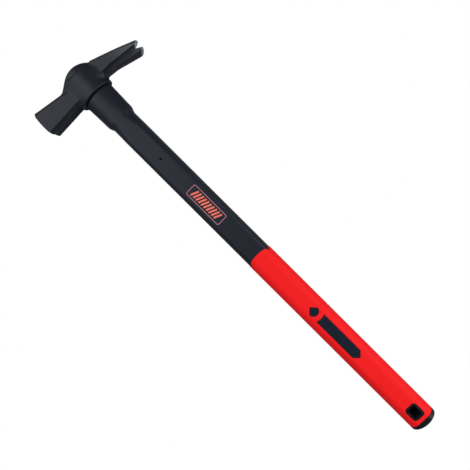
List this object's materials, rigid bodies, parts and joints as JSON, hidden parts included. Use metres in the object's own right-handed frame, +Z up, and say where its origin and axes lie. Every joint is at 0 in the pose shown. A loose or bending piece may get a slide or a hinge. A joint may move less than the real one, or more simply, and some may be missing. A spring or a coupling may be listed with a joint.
{
  "type": "framing hammer",
  "caption": "Long framing hammer with a chamfered poll, split claw, plastic-jacketed glass-fibre handle and soft red grip with a lanyard hole.",
  "frame": {"origin": "centre of the footprint of the hammer's box, on the surface it lies on", "axes": "+X along the handle from head to butt, +Y along the head from striking face to claw, +Z up through the cheeks as the hammer lies on its side"},
  "size_m": [0.6006, 0.153, 0.04],
  "materials": {
    "forged_steel": "black lacquer over a forged skin, bare where the tips are ground",
    "glass_fibre": "drawn glass-fibre rod",
    "cast_resin": "poured resin",
    "jacket_plastic": "satin moulded plastic",
    "grip_rubber": "matt soft plastic",
    "inlay_rubber": "matt soft plastic",
    "cap_plastic": "satin moulded plastic"
  },
  "bodies": {
    "root": {"hammer_head": "forged_steel", "core_rod": "glass_fibre", "eye_resin": "cast_resin", "shaft_jacket": "jacket_plastic", "grip_sleeve": "grip_rubber", "drop_inlay_front": "inlay_rubber", "drop_inlay_back": "inlay_rubber", "arrow_inlay_front": "inlay_rubber", "arrow_inlay_back": "inlay_rubber", "lanyard_bush": "cap_plastic", "butt_cap": "cap_plastic"}
  },
  "joints": []
}
